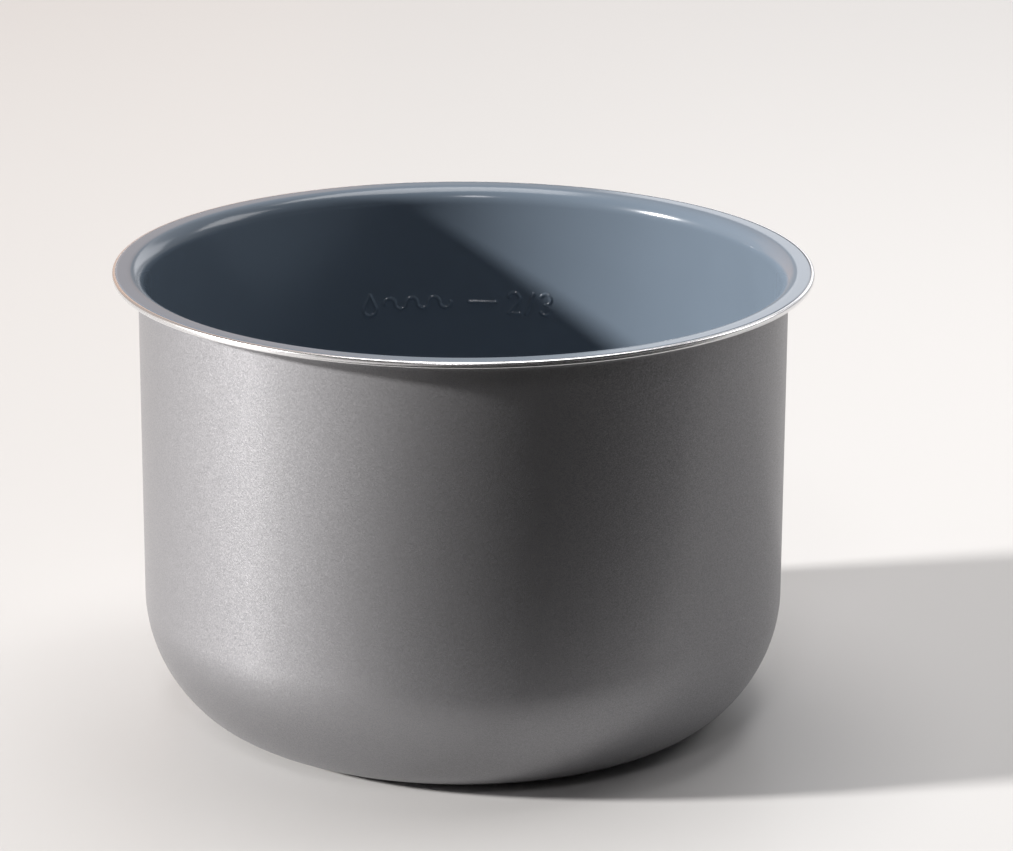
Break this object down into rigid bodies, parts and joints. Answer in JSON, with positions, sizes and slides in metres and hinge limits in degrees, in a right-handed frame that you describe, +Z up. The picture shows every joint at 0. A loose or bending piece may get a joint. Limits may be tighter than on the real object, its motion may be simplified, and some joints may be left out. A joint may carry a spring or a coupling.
{
  "type": "electric pressure cooker inner pot",
  "caption": "Deep drawn round inner cooking pot with a flat rolled-out rim, a straight wall, a large rounded base corner and a raised fill mark on its inner wall.",
  "frame": {"origin": "centre of the bare base face that the pot stands on", "axes": "+Z up along the pot's axis, out of its mouth; the fill mark is on the +Y side of the inner wall and reads from the -Y side, with +X to the right"},
  "size_m": [0.241, 0.241, 0.159],
  "materials": {
    "bare_aluminium": "satin",
    "slate_ceramic": "satin",
    "grey_metallic": "satin"
  },
  "bodies": {
    "root": {"pot_body": "bare_aluminium", "ceramic_lining": "slate_ceramic", "outer_coating": "grey_metallic"}
  },
  "joints": []
}
